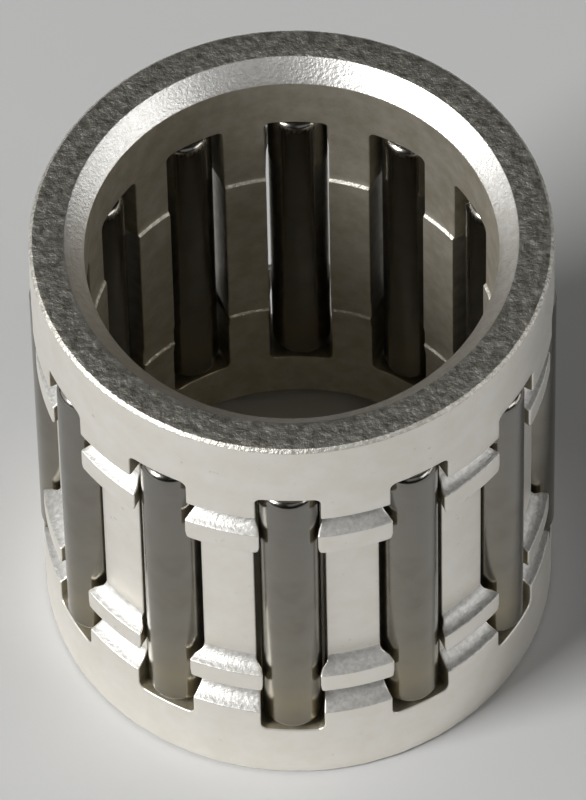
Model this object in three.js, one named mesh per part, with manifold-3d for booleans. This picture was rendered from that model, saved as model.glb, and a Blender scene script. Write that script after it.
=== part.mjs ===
// Needle roller and cage assembly, the kind that carries a piston pin in a connecting rod's small end.
// A one-piece machined steel cage holds twelve needle rollers in twelve windows. There is no inner or
// outer ring: the rollers run straight on the shaft and in the housing bore.
// Millimetres, +Z up. The origin is on the bearing's axis in the plane of its bottom face, and the first
// roller stands at -Y.
import * as THREE from 'three';
import { mergeVertices } from 'three/addons/utils/BufferGeometryUtils.js';
import Module from 'manifold-3d';

const wasm = await Module();
wasm.setup();

// Boundary dimensions of the bearing
const SHAFT_RADIUS = 5;
const HOUSING_RADIUS = 6.5;
const CAGE_WIDTH = 14;
const ROLLER_COUNT = 12;

// Needle roller
const ROLLER_RADIUS = (HOUSING_RADIUS - SHAFT_RADIUS) / 2;
const PITCH_RADIUS = (HOUSING_RADIUS + SHAFT_RADIUS) / 2;
const ROLLER_LENGTH = 9.8;
const ROLLER_BOTTOM = 2.02;
const ROLLER_EDGE_RADIUS = 0.24;
const ROLLER_CROWN = 0.04;
const ROLLER_SIDES = 24;
const ROLLER_EDGE_STEPS = 3;

// Cage, outer side: rims guide on the housing bore, two staked ridges hold the rollers in
const RIM_RADIUS = 6.44;
const RIDGE_RADIUS = 6.4;
const RECESS_RADIUS = 5.98;
const RIM_CHAMFER = 0.08;
const BOTTOM_RIM_TOP = 2.64;
const BOTTOM_SLOPE_TOP = 3;
const LOWER_RIDGE_BOTTOM = 3.56;
const LOWER_RIDGE_TOP = 4.21;
const LOWER_SLOPE_TOP = 4.54;
const UPPER_RIDGE_BOTTOM = 9.6;
const UPPER_RIDGE_TOP = 10.29;
const UPPER_SLOPE_TOP = 10.66;
const TOP_RIM_BOTTOM = 11.1;

// Cage, inner side: a wide chamfer at each end, and a waist that stands a little proud of the bore
const BORE_RADIUS = 5.08;
const FACE_INNER_RADIUS = 5.57;
const BORE_CHAMFER = 0.5;
const WAIST_RADIUS = 5.03;
const WAIST_BOTTOM = 4.12;
const WAIST_TOP = 9.62;
const CAGE_SIDES = 96;

// Windows: parallel at both ends, flared outward along the waist, nipped in at the two ridges
const WINDOW_BOTTOM = 1.92;
const WINDOW_TOP = 11.93;
const WINDOW_HALF_WIDTH = 0.8;
const WINDOW_CORNER_RADIUS = 0.18;
const WAIST_INNER_HALF_WIDTH = 0.735;
const WAIST_OUTER_HALF_WIDTH = 0.88;
const LIP_HALF_WIDTH = 0.72;
const LIP_START_RADIUS = 6.06;
const LIP_CORNER = 0.12;
const LIP_UNDERCUT = 0.02;
const CUT_OVERLAP = 0.04;
const CUT_INNER_RADIUS = SHAFT_RADIUS - 0.5;
const CUT_OUTER_RADIUS = HOUSING_RADIUS + 0.5;
const CORNER_STEPS = 3;

const cageSteel = new THREE.MeshStandardMaterial({ name: 'silver_plated_steel', color: 0xcbc6ba });
cageSteel.roughness = 0.38;
cageSteel.metalness = 0.9;

function rollerSteel() {
  const steel = new THREE.MeshStandardMaterial({ name: 'roller_steel', color: 0x6e6962 });
  steel.roughness = 0.14;
  steel.metalness = 1;
  return steel;
}

// A closed geometry, cleaned to bare shared vertices, as a solid for cutting.
function toSolid(geometry) {
  const bare = geometry.clone();
  bare.deleteAttribute('normal');
  bare.deleteAttribute('uv');
  const welded = mergeVertices(bare, 1e-5);
  const vertProperties = new Float32Array(welded.attributes.position.array);
  const triVerts = new Uint32Array(welded.index.array);
  return new wasm.Manifold(new wasm.Mesh({ numProp: 3, vertProperties, triVerts }));
}

function toGeometry(solid) {
  const mesh = solid.getMesh();
  const geometry = new THREE.BufferGeometry();
  geometry.setAttribute('position', new THREE.BufferAttribute(mesh.vertProperties, 3));
  geometry.setIndex(new THREE.BufferAttribute(mesh.triVerts, 1));
  geometry.computeVertexNormals();
  return geometry;
}

// Turns a profile of [radius, height] points about +Z.
function turned(profile, sides) {
  const points = profile.map(([radius, height]) => new THREE.Vector2(radius, height));
  return new THREE.LatheGeometry(points, sides).rotateX(Math.PI / 2);
}

// Points along a quarter round, from one angle to another about a centre.
function arc(centreX, centreY, radius, startAngle, endAngle, steps) {
  return Array.from({ length: steps + 1 }, (_, step) => {
    const angle = startAngle + ((endAngle - startAngle) * step) / steps;
    return [centreX + radius * Math.cos(angle), centreY + radius * Math.sin(angle)];
  });
}

// The ring before its windows are cut.
function ringProfile() {
  return [
    [FACE_INNER_RADIUS, 0],
    [RIM_RADIUS - RIM_CHAMFER, 0],
    [RIM_RADIUS, RIM_CHAMFER],
    [RIM_RADIUS, BOTTOM_RIM_TOP],
    [RECESS_RADIUS, BOTTOM_SLOPE_TOP],
    [RECESS_RADIUS, LOWER_RIDGE_BOTTOM],
    [RIDGE_RADIUS, LOWER_RIDGE_BOTTOM],
    [RIDGE_RADIUS, LOWER_RIDGE_TOP],
    [RECESS_RADIUS, LOWER_SLOPE_TOP],
    [RECESS_RADIUS, UPPER_RIDGE_BOTTOM],
    [RIDGE_RADIUS, UPPER_RIDGE_BOTTOM],
    [RIDGE_RADIUS, UPPER_RIDGE_TOP],
    [RECESS_RADIUS, UPPER_SLOPE_TOP],
    [RECESS_RADIUS, TOP_RIM_BOTTOM],
    [RIM_RADIUS, TOP_RIM_BOTTOM],
    [RIM_RADIUS, CAGE_WIDTH - RIM_CHAMFER],
    [RIM_RADIUS - RIM_CHAMFER, CAGE_WIDTH],
    [FACE_INNER_RADIUS, CAGE_WIDTH],
    [BORE_RADIUS, CAGE_WIDTH - BORE_CHAMFER],
    [BORE_RADIUS, WAIST_TOP + BORE_RADIUS - WAIST_RADIUS],
    [WAIST_RADIUS, WAIST_TOP],
    [WAIST_RADIUS, WAIST_BOTTOM],
    [BORE_RADIUS, WAIST_BOTTOM - BORE_RADIUS + WAIST_RADIUS],
    [BORE_RADIUS, BORE_CHAMFER],
    [FACE_INNER_RADIUS, 0],
  ];
}

// Mirrors the right half of a window outline, listed from bottom to top, onto the left.
function mirroredOutline(rightHalf) {
  const leftHalf = rightHalf.map(([across, height]) => [-across, height]).reverse();
  return new THREE.Shape([...rightHalf, ...leftHalf].map(([x, y]) => new THREE.Vector2(x, y)));
}

function bottomCorner(bottom) {
  const centreX = WINDOW_HALF_WIDTH - WINDOW_CORNER_RADIUS;
  return arc(centreX, bottom + WINDOW_CORNER_RADIUS, WINDOW_CORNER_RADIUS, -Math.PI / 2, 0, CORNER_STEPS);
}

function topCorner(top) {
  const centreX = WINDOW_HALF_WIDTH - WINDOW_CORNER_RADIUS;
  return arc(centreX, top - WINDOW_CORNER_RADIUS, WINDOW_CORNER_RADIUS, 0, Math.PI / 2, CORNER_STEPS);
}

// Extrudes an outline of (across, height) outward along -Y, between two radii.
function outwardPrism(outline, innerRadius, outerRadius) {
  const prism = new THREE.ExtrudeGeometry(outline, { depth: outerRadius - innerRadius, bevelEnabled: false });
  return prism.rotateX(Math.PI / 2).translate(0, -innerRadius, 0);
}

// The outer skin of the window at the front, with its two nipped-in stretches.
function outerWindow() {
  const rightHalf = [
    ...bottomCorner(WINDOW_BOTTOM),
    [WINDOW_HALF_WIDTH, LOWER_RIDGE_BOTTOM - LIP_UNDERCUT],
    [LIP_HALF_WIDTH + LIP_CORNER / 2, LOWER_RIDGE_BOTTOM - LIP_UNDERCUT],
    [LIP_HALF_WIDTH, LOWER_RIDGE_BOTTOM + LIP_CORNER],
    [LIP_HALF_WIDTH, LOWER_RIDGE_TOP],
    [WAIST_OUTER_HALF_WIDTH, LOWER_SLOPE_TOP],
    [WAIST_OUTER_HALF_WIDTH, UPPER_RIDGE_BOTTOM - LIP_UNDERCUT],
    [LIP_HALF_WIDTH + LIP_CORNER / 2, UPPER_RIDGE_BOTTOM - LIP_UNDERCUT],
    [LIP_HALF_WIDTH, UPPER_RIDGE_BOTTOM + LIP_CORNER],
    [LIP_HALF_WIDTH, UPPER_RIDGE_TOP],
    [WINDOW_HALF_WIDTH, TOP_RIM_BOTTOM],
    ...topCorner(WINDOW_TOP),
  ];
  return outwardPrism(mirroredOutline(rightHalf), LIP_START_RADIUS - CUT_OVERLAP, CUT_OUTER_RADIUS);
}

// The parallel stretches at the window's ends, where the roller's ends run.
function endWindow(isTop) {
  const rightHalf = isTop
    ? [[WINDOW_HALF_WIDTH, WAIST_TOP], ...topCorner(WINDOW_TOP)]
    : [...bottomCorner(WINDOW_BOTTOM), [WINDOW_HALF_WIDTH, WAIST_BOTTOM]];
  return outwardPrism(mirroredOutline(rightHalf), CUT_INNER_RADIUS, LIP_START_RADIUS);
}

// The stretch along the waist: narrower than the roller at the bore, flared outward.
function waistWindow() {
  const flare = (WAIST_OUTER_HALF_WIDTH - WAIST_INNER_HALF_WIDTH) / (RECESS_RADIUS - WAIST_RADIUS);
  const halfWidth = (radius) => WAIST_INNER_HALF_WIDTH + flare * (radius - WAIST_RADIUS);
  const wedge = new THREE.Shape([
    new THREE.Vector2(-halfWidth(CUT_INNER_RADIUS), -CUT_INNER_RADIUS),
    new THREE.Vector2(-halfWidth(LIP_START_RADIUS), -LIP_START_RADIUS),
    new THREE.Vector2(halfWidth(LIP_START_RADIUS), -LIP_START_RADIUS),
    new THREE.Vector2(halfWidth(CUT_INNER_RADIUS), -CUT_INNER_RADIUS),
  ]);
  const bottom = WAIST_BOTTOM - CUT_OVERLAP;
  const height = WAIST_TOP + CUT_OVERLAP - bottom;
  return new THREE.ExtrudeGeometry(wedge, { depth: height, bevelEnabled: false }).translate(0, 0, bottom);
}

function makeCage() {
  const stretches = [endWindow(false), waistWindow(), endWindow(true), outerWindow()].map(toSolid);
  const window = stretches.reduce((whole, stretch) => whole.add(stretch));
  let ring = toSolid(turned(ringProfile(), CAGE_SIDES));
  for (let index = 0; index < ROLLER_COUNT; index += 1) {
    ring = ring.subtract(window.rotate([0, 0, (360 * index) / ROLLER_COUNT]));
  }
  const cage = new THREE.Mesh(toGeometry(ring), cageSteel);
  cage.name = 'cage';
  return cage;
}

// A cylinder with rounded edges and slightly crowned ends, standing on z = 0.
function rollerProfile() {
  const edgeCentreRadius = ROLLER_RADIUS - ROLLER_EDGE_RADIUS;
  const lowCentre = ROLLER_CROWN + ROLLER_EDGE_RADIUS;
  const highCentre = ROLLER_LENGTH - lowCentre;
  return [
    [0, 0],
    ...arc(edgeCentreRadius, lowCentre, ROLLER_EDGE_RADIUS, -Math.PI / 2, 0, ROLLER_EDGE_STEPS),
    ...arc(edgeCentreRadius, highCentre, ROLLER_EDGE_RADIUS, 0, Math.PI / 2, ROLLER_EDGE_STEPS),
    [0, ROLLER_LENGTH],
  ];
}

function makeRoller(index) {
  const angle = (2 * Math.PI * index) / ROLLER_COUNT;
  const solid = toSolid(turned(rollerProfile(), ROLLER_SIDES));
  const roller = new THREE.Mesh(toGeometry(solid), rollerSteel());
  roller.name = `needle_roller_${String(index + 1).padStart(2, '0')}`;
  roller.position.set(PITCH_RADIUS * Math.sin(angle), -PITCH_RADIUS * Math.cos(angle), ROLLER_BOTTOM);
  return roller;
}

const bearing = new THREE.Group();
bearing.name = 'needle_roller_bearing';
bearing.add(makeCage());
for (let index = 0; index < ROLLER_COUNT; index += 1) {
  bearing.add(makeRoller(index));
}

export default bearing;
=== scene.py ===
import bmesh
import bpy
import math
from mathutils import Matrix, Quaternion, Vector, noise


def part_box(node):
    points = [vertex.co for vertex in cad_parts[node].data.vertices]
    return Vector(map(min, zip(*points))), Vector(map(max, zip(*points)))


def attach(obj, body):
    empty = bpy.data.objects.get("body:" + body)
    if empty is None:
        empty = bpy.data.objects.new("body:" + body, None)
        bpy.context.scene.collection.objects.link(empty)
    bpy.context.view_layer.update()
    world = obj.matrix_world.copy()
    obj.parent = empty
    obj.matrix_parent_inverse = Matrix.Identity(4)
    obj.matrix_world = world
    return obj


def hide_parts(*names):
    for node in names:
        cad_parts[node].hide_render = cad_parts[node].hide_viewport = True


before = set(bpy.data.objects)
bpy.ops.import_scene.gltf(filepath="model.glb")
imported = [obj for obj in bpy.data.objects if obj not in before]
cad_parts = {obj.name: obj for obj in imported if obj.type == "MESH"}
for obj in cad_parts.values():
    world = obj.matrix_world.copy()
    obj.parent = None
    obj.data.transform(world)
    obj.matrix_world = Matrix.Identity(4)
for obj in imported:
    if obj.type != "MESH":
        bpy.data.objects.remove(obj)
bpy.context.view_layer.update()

MM = 0.001
QUARTER_TURN = math.pi / 2

# The bearing's main sizes, from the frame, in millimetres.
cage_low, cage_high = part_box("cage")
roller_low, roller_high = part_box("needle_roller_01")
RIM_RADIUS = (cage_high.x - cage_low.x) / 2 / MM
CAGE_WIDTH = cage_high.z / MM
ROLLER_RADIUS = (roller_high.x - roller_low.x) / 2 / MM
ROLLER_LENGTH = (roller_high.z - roller_low.z) / MM
ROLLER_NODES = sorted(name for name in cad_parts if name.startswith("needle_roller"))

# Cage sections, in millimetres.
RIDGE_RADIUS = 6.4
RECESS_RADIUS = 5.98
BORE_RADIUS = 5.08
BORE_CHAMFER = 0.5
FACE_INNER_RADIUS = 5.57
RIM_CHAMFER = 0.085
RIM_CORNER_ROUND = 0.05
EDGE_ROUND = 0.045
BOTTOM_RIM_TOP = 2.64
BOTTOM_SLOPE_TOP = 3.0
LOWER_RIDGE_BOTTOM = 3.56
LOWER_RIDGE_TOP = 4.21
LOWER_SLOPE_TOP = 4.54
UPPER_RIDGE_BOTTOM = 9.6
UPPER_RIDGE_TOP = 10.29
UPPER_SLOPE_TOP = 10.66
TOP_RIM_BOTTOM = 11.1

# How hollow the staked slopes are: 0 is straight and 1 is a quarter of a circle.
SLOPE_HOLLOW = 0.5

# The proud waist in the bore, and the low bead at its lower end, in millimetres.
WAIST_RADIUS = 5.01
WAIST_STEP = BORE_RADIUS - WAIST_RADIUS
WAIST_BOTTOM = 4.12
WAIST_TOP = 9.62
BEAD_RADIUS = 5.0
BEAD_HEIGHT = 0.06

# Windows, in millimetres. The half widths are from a window's middle plane to its flank.
WINDOW_BOTTOM = 1.92
WINDOW_TOP = 11.93
WINDOW_CORNER_RADIUS = 0.18
FLANK_BOTTOM = WINDOW_BOTTOM + WINDOW_CORNER_RADIUS
FLANK_TOP = WINDOW_TOP - WINDOW_CORNER_RADIUS
WINDOW_HALF_WIDTH = 0.8
WAIST_INNER_HALF_WIDTH = 0.78
WAIST_OUTER_HALF_WIDTH = 0.88
UPPER_RECESS_HALF_WIDTH = 0.84
LIP_HALF_WIDTH = 0.72
LIP_START_RADIUS = 6.0
LIP_FULL_RADIUS = 6.2
WAIST_BLEND = 0.08
INNER_EDGE_ROUND = 0.025
OUTER_EDGE_ROUND = 0.04

# The hammered slopes and the tumbled rim edges are ragged by a few micrometres. Lengths are in millimetres.
SLOPE_RAGGED = 0.0075
EDGE_RAGGED = 0.0125
RAGGED_FADE = 0.12
RAGGED_EDGE_END = 0.2
RAGGED_INNER_RADIUS = RECESS_RADIUS - 0.02
RAGGED_PER_MM = 7
RAGGED_LEVEL = 0.4

# How finely the surfaces are divided. Lengths are in millimetres.
PITCH_ANGLE = 2 * math.pi / len(ROLLER_NODES)
WEB_COLUMNS = 9
FLAT_COLUMNS = 4
CORNER_STEPS = 4
EDGE_STEPS = 3
FLANK_STEPS = 5
FILLET_STEPS = 3
SLOPE_STEPS = 6
STEP_EDGE = 0.012
LONGEST_STEP = 0.3
BOTTOM_RIM_START = 1.7
TOP_RIM_START = 1.82
LARGEST_TRIM = 0.45
SLIGHT_TURN = 0.12
PLACE_DIGITS = 7
WELD_DISTANCE = 2e-7
FACE_WEIGHT = 100

# The cage's kinds of surface, which are also the numbers of its materials.
WALL, BORE, WINDOW, FLANK, SLOPE, FACE, CHAMFER, EDGE = range(8)

# How close a face has to be to a feature to count as part of it, in millimetres, and how steep a step is.
FACE_MARGIN = 0.004
CHAMFER_MARGIN = 0.01
EDGE_MARGIN = 0.02
SLOPE_MARGIN = 0.03
LEAST_SLOPE = 0.002
STEP_STEEPNESS = 0.3


def blend(low, high, value):
    """0 below low, 1 above high, and a smooth rise between them."""
    t = min(max((value - low) / (high - low), 0.0), 1.0)
    return t * t * (3 - 2 * t)


def mix(first, second, share):
    return first + (second - first) * share


def mixed(first, second, share):
    return tuple(mix(a, b, share) for a, b in zip(first, second))


def along(points, value):
    """The height of a broken line of (place, height) points at a place."""
    for (x0, y0), (x1, y1) in zip(points, points[1:]):
        if value <= x1:
            return mix(y0, y1, min(max((value - x0) / (x1 - x0), 0.0), 1.0))
    return points[-1][1]


def flat_length(first, second):
    return math.hypot(second[0] - first[0], second[1] - first[1])


def rounded(points, radius):
    """Replaces a path's inner corners by short curves. The first two numbers of a point set its shape."""
    path = [points[0]]
    for before, corner, after in zip(points, points[1:], points[2:]):
        into, out_of = flat_length(before, corner), flat_length(corner, after)
        ahead = ((corner[0] - before[0]) / into, (corner[1] - before[1]) / into)
        beyond = ((after[0] - corner[0]) / out_of, (after[1] - corner[1]) / out_of)
        turn = math.acos(min(max(ahead[0] * beyond[0] + ahead[1] * beyond[1], -1.0), 1.0))
        trim = radius * math.tan(turn / 2)
        if trim < radius * SLIGHT_TURN:
            path.append(corner)
            continue
        start = mixed(corner, before, min(trim / into, LARGEST_TRIM))
        end = mixed(corner, after, min(trim / out_of, LARGEST_TRIM))
        for step in range(FILLET_STEPS + 1):
            share = step / FILLET_STEPS
            path.append(mixed(mixed(start, corner, share), mixed(corner, end, share), share))
    path.append(points[-1])
    return path


def divided(points, longest):
    """Adds points so that no step of a path is longer than this."""
    path = [points[0]]
    for first, second in zip(points, points[1:]):
        steps = max(1, math.ceil(flat_length(first, second) / longest))
        path.extend(mixed(first, second, step / steps) for step in range(1, steps + 1))
    return path


def hollow_slope(lower_radius, low, high, inner_low, inner_high):
    """The section's rows up a staked slope: a hollow that starts nearly flat and ends steep."""
    rows = []
    for step in range(SLOPE_STEPS + 1):
        share = step / SLOPE_STEPS
        turn = QUARTER_TURN * share
        inwards = mix(share, math.sin(turn), SLOPE_HOLLOW)
        upwards = mix(share, 1 - math.cos(turn), SLOPE_HOLLOW)
        radius, height = mix(lower_radius, RECESS_RADIUS, inwards), mix(low, high, upwards)
        rows.append((radius, height, inner_low[0], mix(inner_low[1], inner_high, upwards)))
    return rows


def step_rows(outer_heights, radius, height, rise):
    """The section's rows up a 45-degree step of the waist, with a close row beside each of its edges."""
    climbs = (0.0, STEP_EDGE, rise - STEP_EDGE, rise)
    return [
        (RIDGE_RADIUS, outer_height, radius + climb, height + climb)
        for outer_height, climb in zip(outer_heights, climbs)
    ]


# Each staked slope's lower and upper height.
SLOPES = (
    (BOTTOM_RIM_TOP, BOTTOM_SLOPE_TOP),
    (LOWER_RIDGE_TOP, LOWER_SLOPE_TOP),
    (UPPER_RIDGE_TOP, UPPER_SLOPE_TOP),
)

# The web's section: outer radius and height, then the matching inner radius and height, going up.
WEB_SECTION = [
    (RIM_RADIUS, FLANK_BOTTOM, BORE_RADIUS, FLANK_BOTTOM),
    *hollow_slope(RIM_RADIUS, BOTTOM_RIM_TOP, BOTTOM_SLOPE_TOP, (BORE_RADIUS, 2.6), 2.95),
    (RECESS_RADIUS, LOWER_RIDGE_BOTTOM, BORE_RADIUS, 3.4),
    (RIDGE_RADIUS, LOWER_RIDGE_BOTTOM, BORE_RADIUS, 3.65),
    *step_rows((4.0, 4.05, 4.15, 4.18), BEAD_RADIUS, WAIST_BOTTOM, BEAD_HEIGHT),
    *hollow_slope(RIDGE_RADIUS, LOWER_RIDGE_TOP, LOWER_SLOPE_TOP, (BEAD_RADIUS + BEAD_HEIGHT, 4.22), 4.6),
    (RECESS_RADIUS, 4.8, WAIST_RADIUS, 4.9),
    (RECESS_RADIUS, UPPER_RIDGE_BOTTOM, WAIST_RADIUS, 9.35),
    *step_rows((UPPER_RIDGE_BOTTOM, 9.66, 9.79, 9.85), WAIST_RADIUS, WAIST_TOP, WAIST_STEP),
    *hollow_slope(RIDGE_RADIUS, UPPER_RIDGE_TOP, UPPER_SLOPE_TOP, (BORE_RADIUS, 10.15), 10.55),
    (RECESS_RADIUS, TOP_RIM_BOTTOM, BORE_RADIUS, 10.9),
    (RIM_RADIUS, TOP_RIM_BOTTOM, BORE_RADIUS, 11.15),
    (RIM_RADIUS, FLANK_TOP, BORE_RADIUS, FLANK_TOP),
]

# Half the window's width at the outer skin, by height: nipped in at the two staked ridges.
LIP_OUTLINE = [
    (LOWER_RIDGE_BOTTOM - 0.1, WINDOW_HALF_WIDTH),
    (LOWER_RIDGE_BOTTOM, 0.78),
    (LOWER_RIDGE_BOTTOM + 0.05, 0.74),
    (LOWER_RIDGE_BOTTOM + 0.17, LIP_HALF_WIDTH),
    (LOWER_RIDGE_TOP, LIP_HALF_WIDTH),
    (LOWER_SLOPE_TOP, WAIST_OUTER_HALF_WIDTH),
    (UPPER_RIDGE_BOTTOM - 0.03, WAIST_OUTER_HALF_WIDTH),
    (UPPER_RIDGE_BOTTOM, 0.8),
    (UPPER_RIDGE_BOTTOM + 0.05, 0.75),
    (UPPER_RIDGE_BOTTOM + 0.17, LIP_HALF_WIDTH),
    (UPPER_RIDGE_TOP, LIP_HALF_WIDTH),
    (UPPER_SLOPE_TOP, UPPER_RECESS_HALF_WIDTH),
    (TOP_RIM_BOTTOM - 0.05, UPPER_RECESS_HALF_WIDTH),
    (TOP_RIM_BOTTOM, WINDOW_HALF_WIDTH),
]


def window_half_width(radius, height):
    """Distance from a window's middle plane to its flank."""
    flare = (WAIST_OUTER_HALF_WIDTH - WAIST_INNER_HALF_WIDTH) / (RECESS_RADIUS - WAIST_RADIUS)
    waist = WAIST_INNER_HALF_WIDTH + flare * (radius - WAIST_RADIUS)
    above = blend(WAIST_BOTTOM - WAIST_BLEND, WAIST_BOTTOM + WAIST_BLEND, height)
    below = 1 - blend(WAIST_TOP - WAIST_BLEND, WAIST_TOP + WAIST_BLEND, height)
    inner = mix(WINDOW_HALF_WIDTH, waist, above * below)
    return mix(inner, along(LIP_OUTLINE, height), blend(LIP_START_RADIUS, LIP_FULL_RADIUS, radius))


def tunnel_layers(inner, outer):
    """(share of the way from inner to outer skin, offset into the metal) across a window's wall."""
    depth = outer - inner
    layers = []
    for step in range(EDGE_STEPS):
        angle = QUARTER_TURN * step / EDGE_STEPS
        reach = INNER_EDGE_ROUND * (1 - math.cos(angle))
        layers.append((reach / depth, INNER_EDGE_ROUND * (1 - math.sin(angle))))
    first, last = INNER_EDGE_ROUND / depth, 1 - OUTER_EDGE_ROUND / depth
    for step in range(FLANK_STEPS + 1):
        layers.append((mix(first, last, step / FLANK_STEPS), 0.0))
    for step in range(1, EDGE_STEPS + 1):
        angle = QUARTER_TURN * step / EDGE_STEPS
        reach = OUTER_EDGE_ROUND * math.sin(angle)
        layers.append((last + reach / depth, OUTER_EDGE_ROUND * (1 - math.cos(angle))))
    return layers


def end_outline(height, upward):
    """(across, height, normal across, normal up) round a window's end, from its middle to its flank."""
    flat = WINDOW_HALF_WIDTH - WINDOW_CORNER_RADIUS
    centre = height - WINDOW_CORNER_RADIUS * upward
    points = [(flat * step / FLAT_COLUMNS, height, 0.0, upward) for step in range(FLAT_COLUMNS)]
    for step in range(CORNER_STEPS + 1):
        angle = QUARTER_TURN * step / CORNER_STEPS
        across, up = math.sin(angle), math.cos(angle) * upward
        place = (flat + WINDOW_CORNER_RADIUS * across, centre + WINDOW_CORNER_RADIUS * up)
        points.append((*place, across, up))
    return points


def end_rows(height, upward):
    """The window wall's points round one end: one row of layers for each point of the outline."""
    rows = []
    for across, up, normal_across, normal_up in end_outline(height, upward):
        row = []
        for share, inset in tunnel_layers(BORE_RADIUS, RIM_RADIUS):
            radius = mix(BORE_RADIUS, RIM_RADIUS, share)
            angle = math.asin((across + inset * normal_across) / radius)
            row.append((angle, radius, up + inset * normal_up))
        rows.append(row)
    return rows


def flank_rows(section):
    """The window wall's points up one flank: one row of layers for each row of the section."""
    rows = []
    for outer, outer_height, inner, inner_height in section:
        row = []
        for share, inset in tunnel_layers(inner, outer):
            radius = mix(inner, outer, share)
            height = mix(inner_height, outer_height, share)
            row.append((math.asin((window_half_width(radius, height) + inset) / radius), radius, height))
        rows.append(row)
    return rows


def web_row(angle, radius, height):
    """A skin of the web at one height, from the window's edge to the web's middle."""
    middle = PITCH_ANGLE / 2
    shares = [column / WEB_COLUMNS for column in range(WEB_COLUMNS + 1)]
    return [(mix(angle, middle, share), radius, height) for share in shares]


def rim_rows(profile, outer_edge, inner_edge):
    """A rim's skin, round from the window's outer edge to its inner edge."""
    first = outer_edge + web_row(*outer_edge[-1])[1:]
    last = inner_edge + web_row(*inner_edge[-1])[1:]
    rows = [first]
    for index, (radius, height) in enumerate(profile):
        share = (index + 1) / (len(profile) + 1)
        rows.append([(mix(a[0], b[0], share), radius, height) for a, b in zip(first, last)])
    rows.append(last)
    return rows


def rim_profile(face, inward, start):
    """(radius, height) round a rim, from its outer wall over its end face to the bore.

    inward is the way from the face into the cage, and start is how far from the face the path starts."""
    corners = [
        (RIM_RADIUS, face + inward * start),
        (RIM_RADIUS, face + inward * RIM_CHAMFER),
        (RIM_RADIUS - RIM_CHAMFER, face),
        (FACE_INNER_RADIUS, face),
        (BORE_RADIUS, face + inward * BORE_CHAMFER),
        (BORE_RADIUS, face + inward * start),
    ]
    return divided(rounded(corners, RIM_CORNER_ROUND), LONGEST_STEP)


def at(angle, radius, height):
    return (radius * math.sin(angle), -radius * math.cos(angle), height)


def add_grid(cage, rows, kind):
    """Adds a grid of (angle, radius, height) points as faces. kind gives each face its material."""
    points = [[cage.verts.new(at(*point)) for point in row] for row in rows]
    for row_index, (row, next_row) in enumerate(zip(points, points[1:])):
        for column in range(len(row) - 1):
            corners = (row[column], row[column + 1], next_row[column + 1], next_row[column])
            places = {tuple(round(c, PLACE_DIGITS) for c in corner.co) for corner in corners}
            if len(places) < len(corners):
                continue
            face = cage.faces.new(corners)
            face.material_index = kind(rows[row_index][column], rows[row_index + 1][column], column)


def tunnel_kind(low, high, column):
    if column < EDGE_STEPS:
        return BORE
    if column >= EDGE_STEPS + FLANK_STEPS:
        return WALL
    in_waist = WAIST_BOTTOM < low[2] and high[2] < WAIST_TOP
    return FLANK if in_waist else WINDOW


def outer_kind(low, high, column):
    on_slope = any(
        bottom - SLOPE_MARGIN < low[2] and high[2] < top + SLOPE_MARGIN for bottom, top in SLOPES
    )
    return SLOPE if on_slope and high[1] < low[1] - LEAST_SLOPE else WALL


def inner_kind(low, high, column):
    at_step = high[1] - low[1] > STEP_STEEPNESS * (high[2] - low[2])
    return EDGE if at_step else BORE


def rim_kind(low, high, column):
    bottom, top = min(low[2], high[2]), max(low[2], high[2])
    if top < FACE_MARGIN or bottom > CAGE_WIDTH - FACE_MARGIN:
        return FACE
    if max(low[1], high[1]) < FACE_INNER_RADIUS + CHAMFER_MARGIN:
        upper = top > CAGE_WIDTH - BORE_CHAMFER + CHAMFER_MARGIN
        lower = bottom < BORE_CHAMFER - CHAMFER_MARGIN
        return CHAMFER if upper or lower else BORE
    upper = bottom > CAGE_WIDTH - RIM_CHAMFER - EDGE_MARGIN
    lower = top < RIM_CHAMFER + EDGE_MARGIN
    return EDGE if upper or lower else WALL


def half_pitch():
    """The cage from the middle of a window to the middle of a web."""
    part = bmesh.new()
    section = divided(rounded(WEB_SECTION, EDGE_ROUND), LONGEST_STEP)
    bottom, flank, top = end_rows(WINDOW_BOTTOM, -1), flank_rows(section), end_rows(WINDOW_TOP, 1)
    add_grid(part, bottom + flank[1:-1] + top[::-1], tunnel_kind)
    add_grid(part, [web_row(*row[-1]) for row in flank], outer_kind)
    add_grid(part, [web_row(*row[0]) for row in flank], inner_kind)
    ends = ((0.0, 1, BOTTOM_RIM_START, bottom), (CAGE_WIDTH, -1, TOP_RIM_START, top))
    for face, inward, start, rows in ends:
        profile = rim_profile(face, inward, start)
        add_grid(part, rim_rows(profile, [row[-1] for row in rows], [row[0] for row in rows]), rim_kind)
    return part


def roughen(cage):
    """Leaves the staked slopes and the rims' outer edges slightly ragged."""
    for vertex in cage.verts:
        x, y, z = vertex.co / MM
        radius = math.hypot(x, y)
        if radius < RAGGED_INNER_RADIUS:
            continue
        at_slope = max(
            blend(low - RAGGED_FADE, low, z) * (1 - blend(high, high + RAGGED_FADE, z))
            for low, high in SLOPES
        )
        at_edge = 1 - blend(RIM_CHAMFER, RAGGED_EDGE_END, min(z, CAGE_WIDTH - z))
        depth = SLOPE_RAGGED * at_slope + EDGE_RAGGED * at_edge
        push = depth * (noise.noise(Vector((x, y, z)) * RAGGED_PER_MM) - RAGGED_LEVEL)
        vertex.co.x *= 1 + push / radius
        vertex.co.y *= 1 + push / radius


def add_object(name, data):
    """A new object in the scene."""
    made = bpy.data.objects.new(name, data)
    bpy.context.scene.collection.objects.link(made)
    return made


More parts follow.
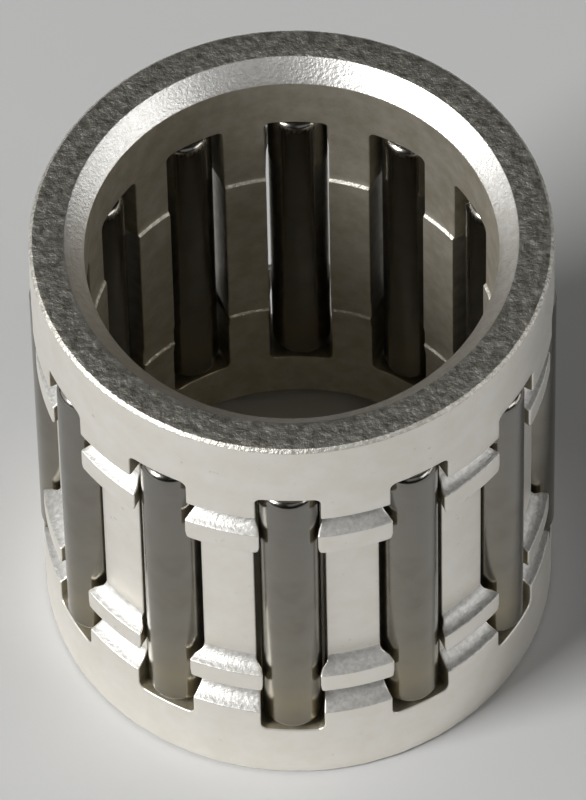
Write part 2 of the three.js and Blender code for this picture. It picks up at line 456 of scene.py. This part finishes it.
def make_cage(materials):
    """The whole cage: a half pitch, mirrored and repeated round the axis."""
    part = half_pitch()
    points = [vertex.co.copy() for vertex in part.verts]
    part.verts.index_update()
    faces = [([vertex.index for vertex in face.verts], face.material_index) for face in part.faces]
    part.free()
    cage = bmesh.new()
    for pitch in range(len(ROLLER_NODES)):
        turn = PITCH_ANGLE * pitch
        cosine, sine = math.cos(turn), math.sin(turn)
        for side in (1, -1):
            placed = []
            for x, y, z in points:
                x *= side
                place = Vector((x * cosine - y * sine, x * sine + y * cosine, z))
                placed.append(cage.verts.new(place * MM))
            for corners, material in faces:
                face = cage.faces.new([placed[index] for index in corners[::side]])
                face.material_index = material
                face.smooth = True
    bmesh.ops.remove_doubles(cage, verts=cage.verts, dist=WELD_DISTANCE)
    roughen(cage)
    bmesh.ops.recalc_face_normals(cage, faces=cage.faces)
    mesh = bpy.data.meshes.new("cage_body")
    cage.to_mesh(mesh)
    cage.free()
    for material in materials:
        mesh.materials.append(material)
    piece = add_object("cage_body", mesh)
    weighted = piece.modifiers.new("face_weighted_normals", "WEIGHTED_NORMAL")
    weighted.weight = FACE_WEIGHT
    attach(piece, "cage")
    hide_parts("cage")


# Rollers. Lengths are in millimetres.
ROLLER_SIDES = 72
ROLLER_EDGE_RADIUS = 0.26
ROLLER_EDGE_STEPS = 8
ROLLER_END_DOME = 0.02
ROLLER_END_RINGS = 6


def roller_profile():
    """(radius, height) up one roller, from its bottom centre to its top centre."""
    flat = ROLLER_RADIUS - ROLLER_EDGE_RADIUS
    low = []
    for step in range(ROLLER_END_RINGS):
        share = step / ROLLER_END_RINGS
        low.append((flat * share, ROLLER_END_DOME * share ** 2))
    for step in range(ROLLER_EDGE_STEPS + 1):
        angle = QUARTER_TURN * step / ROLLER_EDGE_STEPS
        up = ROLLER_END_DOME + ROLLER_EDGE_RADIUS * (1 - math.cos(angle))
        low.append((flat + ROLLER_EDGE_RADIUS * math.sin(angle), up))
    high = [(radius, ROLLER_LENGTH - height) for radius, height in reversed(low)]
    return low + high


def make_roller(node, body, material):
    low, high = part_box(node)
    roller = bmesh.new()
    turns = [2 * math.pi * side / ROLLER_SIDES for side in range(ROLLER_SIDES)]
    rings = []
    for radius, height in roller_profile():
        if radius == 0:
            rings.append([roller.verts.new((0, 0, height * MM))])
            continue
        rings.append([
            roller.verts.new((radius * math.cos(turn) * MM, radius * math.sin(turn) * MM, height * MM))
            for turn in turns
        ])
    for ring, next_ring in zip(rings, rings[1:]):
        for side in range(ROLLER_SIDES):
            after = (side + 1) % ROLLER_SIDES
            corners = [ring[side % len(ring)], ring[after % len(ring)]]
            corners += [next_ring[after % len(next_ring)], next_ring[side % len(next_ring)]]
            roller.faces.new(list(dict.fromkeys(corners)))
    bmesh.ops.recalc_face_normals(roller, faces=roller.faces)
    for face in roller.faces:
        face.smooth = True
    mesh = bpy.data.meshes.new(body + "_body")
    roller.to_mesh(mesh)
    roller.free()
    mesh.materials.append(material)
    piece = add_object(body + "_body", mesh)
    piece.location = Vector(((low.x + high.x) / 2, (low.y + high.y) / 2, low.z))
    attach(piece, body)
    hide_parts(node)


def new_material(name, colour, metallic, roughness):
    material = bpy.data.materials.new(name)
    material.use_nodes = True
    shader = material.node_tree.nodes["Principled BSDF"]
    shader.inputs["Base Color"].default_value = (*colour, 1)
    shader.inputs["Metallic"].default_value = metallic
    shader.inputs["Roughness"].default_value = roughness
    return material, shader


def noise_field(material, size, detail=3.0, roughness=0.5):
    """A soft three-dimensional noise from 0 to 1, with blobs of this size in millimetres."""
    nodes, links = material.node_tree.nodes, material.node_tree.links
    place = nodes.new("ShaderNodeTexCoord")
    texture = nodes.new("ShaderNodeTexNoise")
    texture.inputs["Scale"].default_value = 1 / (size * MM)
    texture.inputs["Detail"].default_value = detail
    texture.inputs["Roughness"].default_value = roughness
    links.new(place.outputs["Object"], texture.inputs["Vector"])
    return texture.outputs["Fac"]


def ramp(material, source, *stops):
    """Turns a 0 to 1 value into a colour, or a grey, by (place, colour) stops."""
    node = material.node_tree.nodes.new("ShaderNodeValToRGB")
    elements = node.color_ramp.elements
    while len(elements) < len(stops):
        elements.new(0.5)
    for element, (place, colour) in zip(elements, stops):
        element.position = place
        element.color = (*colour, 1) if isinstance(colour, tuple) else (colour, colour, colour, 1)
    material.node_tree.links.new(source, node.inputs["Fac"])
    return node.outputs["Color"]


def layered(material, under, over, share):
    """Lays one colour over another where a value is high."""
    node = material.node_tree.nodes.new("ShaderNodeMix")
    node.data_type = "RGBA"
    links = material.node_tree.links
    links.new(share, node.inputs["Factor"])
    links.new(under, node.inputs["A"])
    node.inputs["B"].default_value = (*over, 1)
    return node.outputs["Result"]


def bumped(material, shader, height, strength, depth):
    """Raises a surface by a height from 0 to 1, up to a depth in millimetres."""
    nodes, links = material.node_tree.nodes, material.node_tree.links
    bump = nodes.new("ShaderNodeBump")
    bump.inputs["Strength"].default_value = strength
    bump.inputs["Distance"].default_value = depth * MM
    links.new(height, bump.inputs["Height"])
    links.new(bump.outputs["Normal"], shader.inputs["Normal"])


# Silver plating: how rough its noise is, where its two tones part, and its small tarnish stains.
PLATING_NOISE = 0.6
TONE_STOPS = (0.35, 0.65)
STAIN = (0.42, 0.36, 0.22)
STAIN_SIZE = 0.3
STAIN_STOPS = (0.7, 0.78)


def plated(name, light, dark, metallic, roughness, patch, grain, strength, depth, detail=3.0, stained=0.0):
    """Silver plating: its colour drifts between two tones over patches, and a grain of bumps covers it."""
    material, shader = new_material(name, light, metallic, roughness)
    patches = noise_field(material, patch, detail, PLATING_NOISE)
    colour = ramp(material, patches, (TONE_STOPS[0], dark), (TONE_STOPS[1], light))
    if stained:
        stains = noise_field(material, STAIN_SIZE)
        spots = ramp(material, stains, (STAIN_STOPS[0], 0.0), (STAIN_STOPS[1], stained))
        colour = layered(material, colour, STAIN, spots)
    material.node_tree.links.new(colour, shader.inputs["Base Color"])
    bumped(material, shader, noise_field(material, grain, detail, PLATING_NOISE), strength, depth)
    return material


def make_plating():
    """The cage's materials, in the order of their numbers."""
    return [
        plated(
            "plated_wall", light=(0.96, 0.93, 0.87), dark=(0.92, 0.88, 0.8), metallic=0.83, roughness=0.4,
            patch=0.8, grain=0.15, strength=0.4, depth=0.01, stained=0.4,
        ),
        plated(
            "plated_bore", light=(0.86, 0.8, 0.69), dark=(0.7, 0.64, 0.51), metallic=0.8, roughness=0.38,
            patch=0.5, grain=0.15, strength=0.4, depth=0.01, stained=0.4,
        ),
        # Window walls: a rough sheared finish, coloured dark brown as painted shade of the gaps beside the
        # rollers.
        plated(
            "window_wall_painted_shade", light=(0.55, 0.5, 0.38), dark=(0.4, 0.36, 0.26), metallic=0.85, roughness=0.5,
            patch=0.4, grain=0.1, strength=0.5, depth=0.02,
        ),
        plated(
            "window_flank", light=(0.6, 0.57, 0.5), dark=(0.45, 0.42, 0.36), metallic=0.9, roughness=0.4,
            patch=0.4, grain=0.15, strength=0.4, depth=0.01,
        ),
        plated(
            "plated_slope", light=(0.74, 0.73, 0.7), dark=(0.56, 0.55, 0.52), metallic=0.76, roughness=0.46,
            patch=0.12, grain=0.09, strength=0.7, depth=0.018, detail=4.0,
        ),
        plated(
            "plated_face", light=(0.76, 0.73, 0.65), dark=(0.34, 0.32, 0.27), metallic=1.0, roughness=0.5,
            patch=0.28, grain=0.2, strength=1.0, depth=0.05, detail=6.0,
        ),
        plated(
            "plated_chamfer", light=(0.95, 0.94, 0.91), dark=(0.85, 0.83, 0.79), metallic=1.0, roughness=0.4,
            patch=0.2, grain=0.09, strength=0.8, depth=0.018,
        ),
        plated(
            "plated_edge", light=(0.84, 0.82, 0.76), dark=(0.6, 0.57, 0.5), metallic=0.85, roughness=0.48,
            patch=0.12, grain=0.1, strength=1.0, depth=0.04,
        ),
    ]


# Roller steel: its colour by share of its height, which paints shade darkening the lower end and a painted
# olive reflection of the cage's bottom rim just above it, and the patches of oil film on it, sized in
# millimetres.
STEEL = (0.27, 0.255, 0.23)
STEEL_PAINTED_SHADE_AND_REFLECTION = (
    (0.0, (0.16, 0.14, 0.1)),
    (0.05, (0.25, 0.225, 0.165)),
    (0.12, (0.31, 0.275, 0.2)),
    (0.3, (0.28, 0.262, 0.222)),
    (1.0, (0.27, 0.258, 0.235)),
)
OIL_FILM = (0.2, 0.18, 0.145)
OIL_SIZE = 0.9
OIL_STOPS = ((0.45, 0.0), (0.7, 0.45))
STEEL_WAVE_SIZE = 0.6


def make_steel():
    """Hardened and ground roller steel, with painted shade darkening and browning its lower end, a painted
    olive reflection of the bottom rim just above that, and patches of oil film.
    """
    material, shader = new_material("ground_steel_painted_shade", STEEL, metallic=1.0, roughness=0.2)
    nodes, links = material.node_tree.nodes, material.node_tree.links
    place = nodes.new("ShaderNodeTexCoord")
    split = nodes.new("ShaderNodeSeparateXYZ")
    share = nodes.new("ShaderNodeMath")
    share.operation = "DIVIDE"
    share.inputs[1].default_value = ROLLER_LENGTH * MM
    links.new(place.outputs["Object"], split.inputs["Vector"])
    links.new(split.outputs["Z"], share.inputs[0])
    # Painted shade at the roller's lower end and a painted olive reflection of the bottom rim, by share of
    # height.
    colour = ramp(material, share.outputs["Value"], *STEEL_PAINTED_SHADE_AND_REFLECTION)
    film = ramp(material, noise_field(material, OIL_SIZE), *OIL_STOPS)
    links.new(layered(material, colour, OIL_FILM, film), shader.inputs["Base Color"])
    bumped(material, shader, noise_field(material, STEEL_WAVE_SIZE), strength=0.2, depth=0.01)
    return material


# The stage, in metres and degrees. Azimuth 0 is in front, at -Y, and grows to the right.
FLOOR_REACH = 0.6
FLOOR_PAPER = (0.6, 0.6, 0.595)
SKY = (0.95, 0.97, 1.0)
SKY_STRENGTH = 0.01
CAMERA_AIM = Vector((-0.000052, 0.00006, 0.00706))
CAMERA_AZIMUTH = 2.15
CAMERA_ELEVATION = 54.51
CAMERA_ROLL = -1.32
CAMERA_DISTANCE = 0.2637
CAMERA_LENS = 475
SENSOR_WIDTH = 36

# Name, azimuth, elevation, distance, width and height of each light, and its power in watts.
LIGHTS = [
    ("window_left", -60, 39, 0.4, 0.15, 0.15, 1.6),
    ("wall_left", -84, 25, 0.5, 0.5, 0.25, 0.36),
    ("wall_right", 94, 15, 0.5, 0.3, 0.14, 0.24),
    ("card_right", 68, 31, 0.5, 0.22, 0.14, 0.36),
    ("wall_front", 22, 42, 0.5, 0.3, 0.2, 0.07),
]


def direction(azimuth, elevation):
    """The unit vector from the bearing towards a point of the stage."""
    turn, rise = math.radians(azimuth), math.radians(elevation)
    return Vector((math.sin(turn) * math.cos(rise), -math.cos(turn) * math.cos(rise), math.sin(rise)))


def make_stage():
    material, _ = new_material("floor_paper", FLOOR_PAPER, metallic=0.0, roughness=0.9)
    mesh = bpy.data.meshes.new("floor")
    sides = ((-1, -1), (1, -1), (1, 1), (-1, 1))
    mesh.from_pydata([(x * FLOOR_REACH, y * FLOOR_REACH, 0) for x, y in sides], [], [(0, 1, 2, 3)])
    mesh.materials.append(material)
    add_object("floor", mesh)


def add_light(name, azimuth, elevation, distance, width, height, power):
    """A rectangular light that looks at the bearing."""
    data = bpy.data.lights.new(name, "AREA")
    data.shape = "RECTANGLE"
    data.size, data.size_y = width, height
    data.energy = power
    away = direction(azimuth, elevation)
    light = add_object(name, data)
    light.location = away * distance
    light.visible_camera = False
    light.rotation_mode = "QUATERNION"
    light.rotation_quaternion = (-away).to_track_quat("-Z", "Y")


def make_lights():
    world = bpy.data.worlds.new("studio")
    bpy.context.scene.world = world
    world.use_nodes = True
    background = world.node_tree.nodes["Background"]
    background.inputs["Color"].default_value = (*SKY, 1)
    background.inputs["Strength"].default_value = SKY_STRENGTH
    for light in LIGHTS:
        add_light(*light)


def make_camera():
    """Long lens, well above the bearing, a little to the right of the first roller."""
    data = bpy.data.cameras.new("camera")
    data.sensor_width = SENSOR_WIDTH
    data.lens = CAMERA_LENS
    data.clip_start, data.clip_end = 0.01, 10
    away = direction(CAMERA_AZIMUTH, CAMERA_ELEVATION)
    level = (-away).to_track_quat("-Z", "Y")
    camera = add_object("camera", data)
    camera.location = CAMERA_AIM + away * CAMERA_DISTANCE
    camera.rotation_mode = "QUATERNION"
    camera.rotation_quaternion = level @ Quaternion((0, 0, 1), math.radians(CAMERA_ROLL))
    bpy.context.scene.camera = camera


make_camera()
make_cage(make_plating())
steel = make_steel()
for node in ROLLER_NODES:
    make_roller(node, "roller_" + node[-2:], steel)
make_stage()
make_lights()
bpy.context.scene.view_settings.view_transform = "Standard"
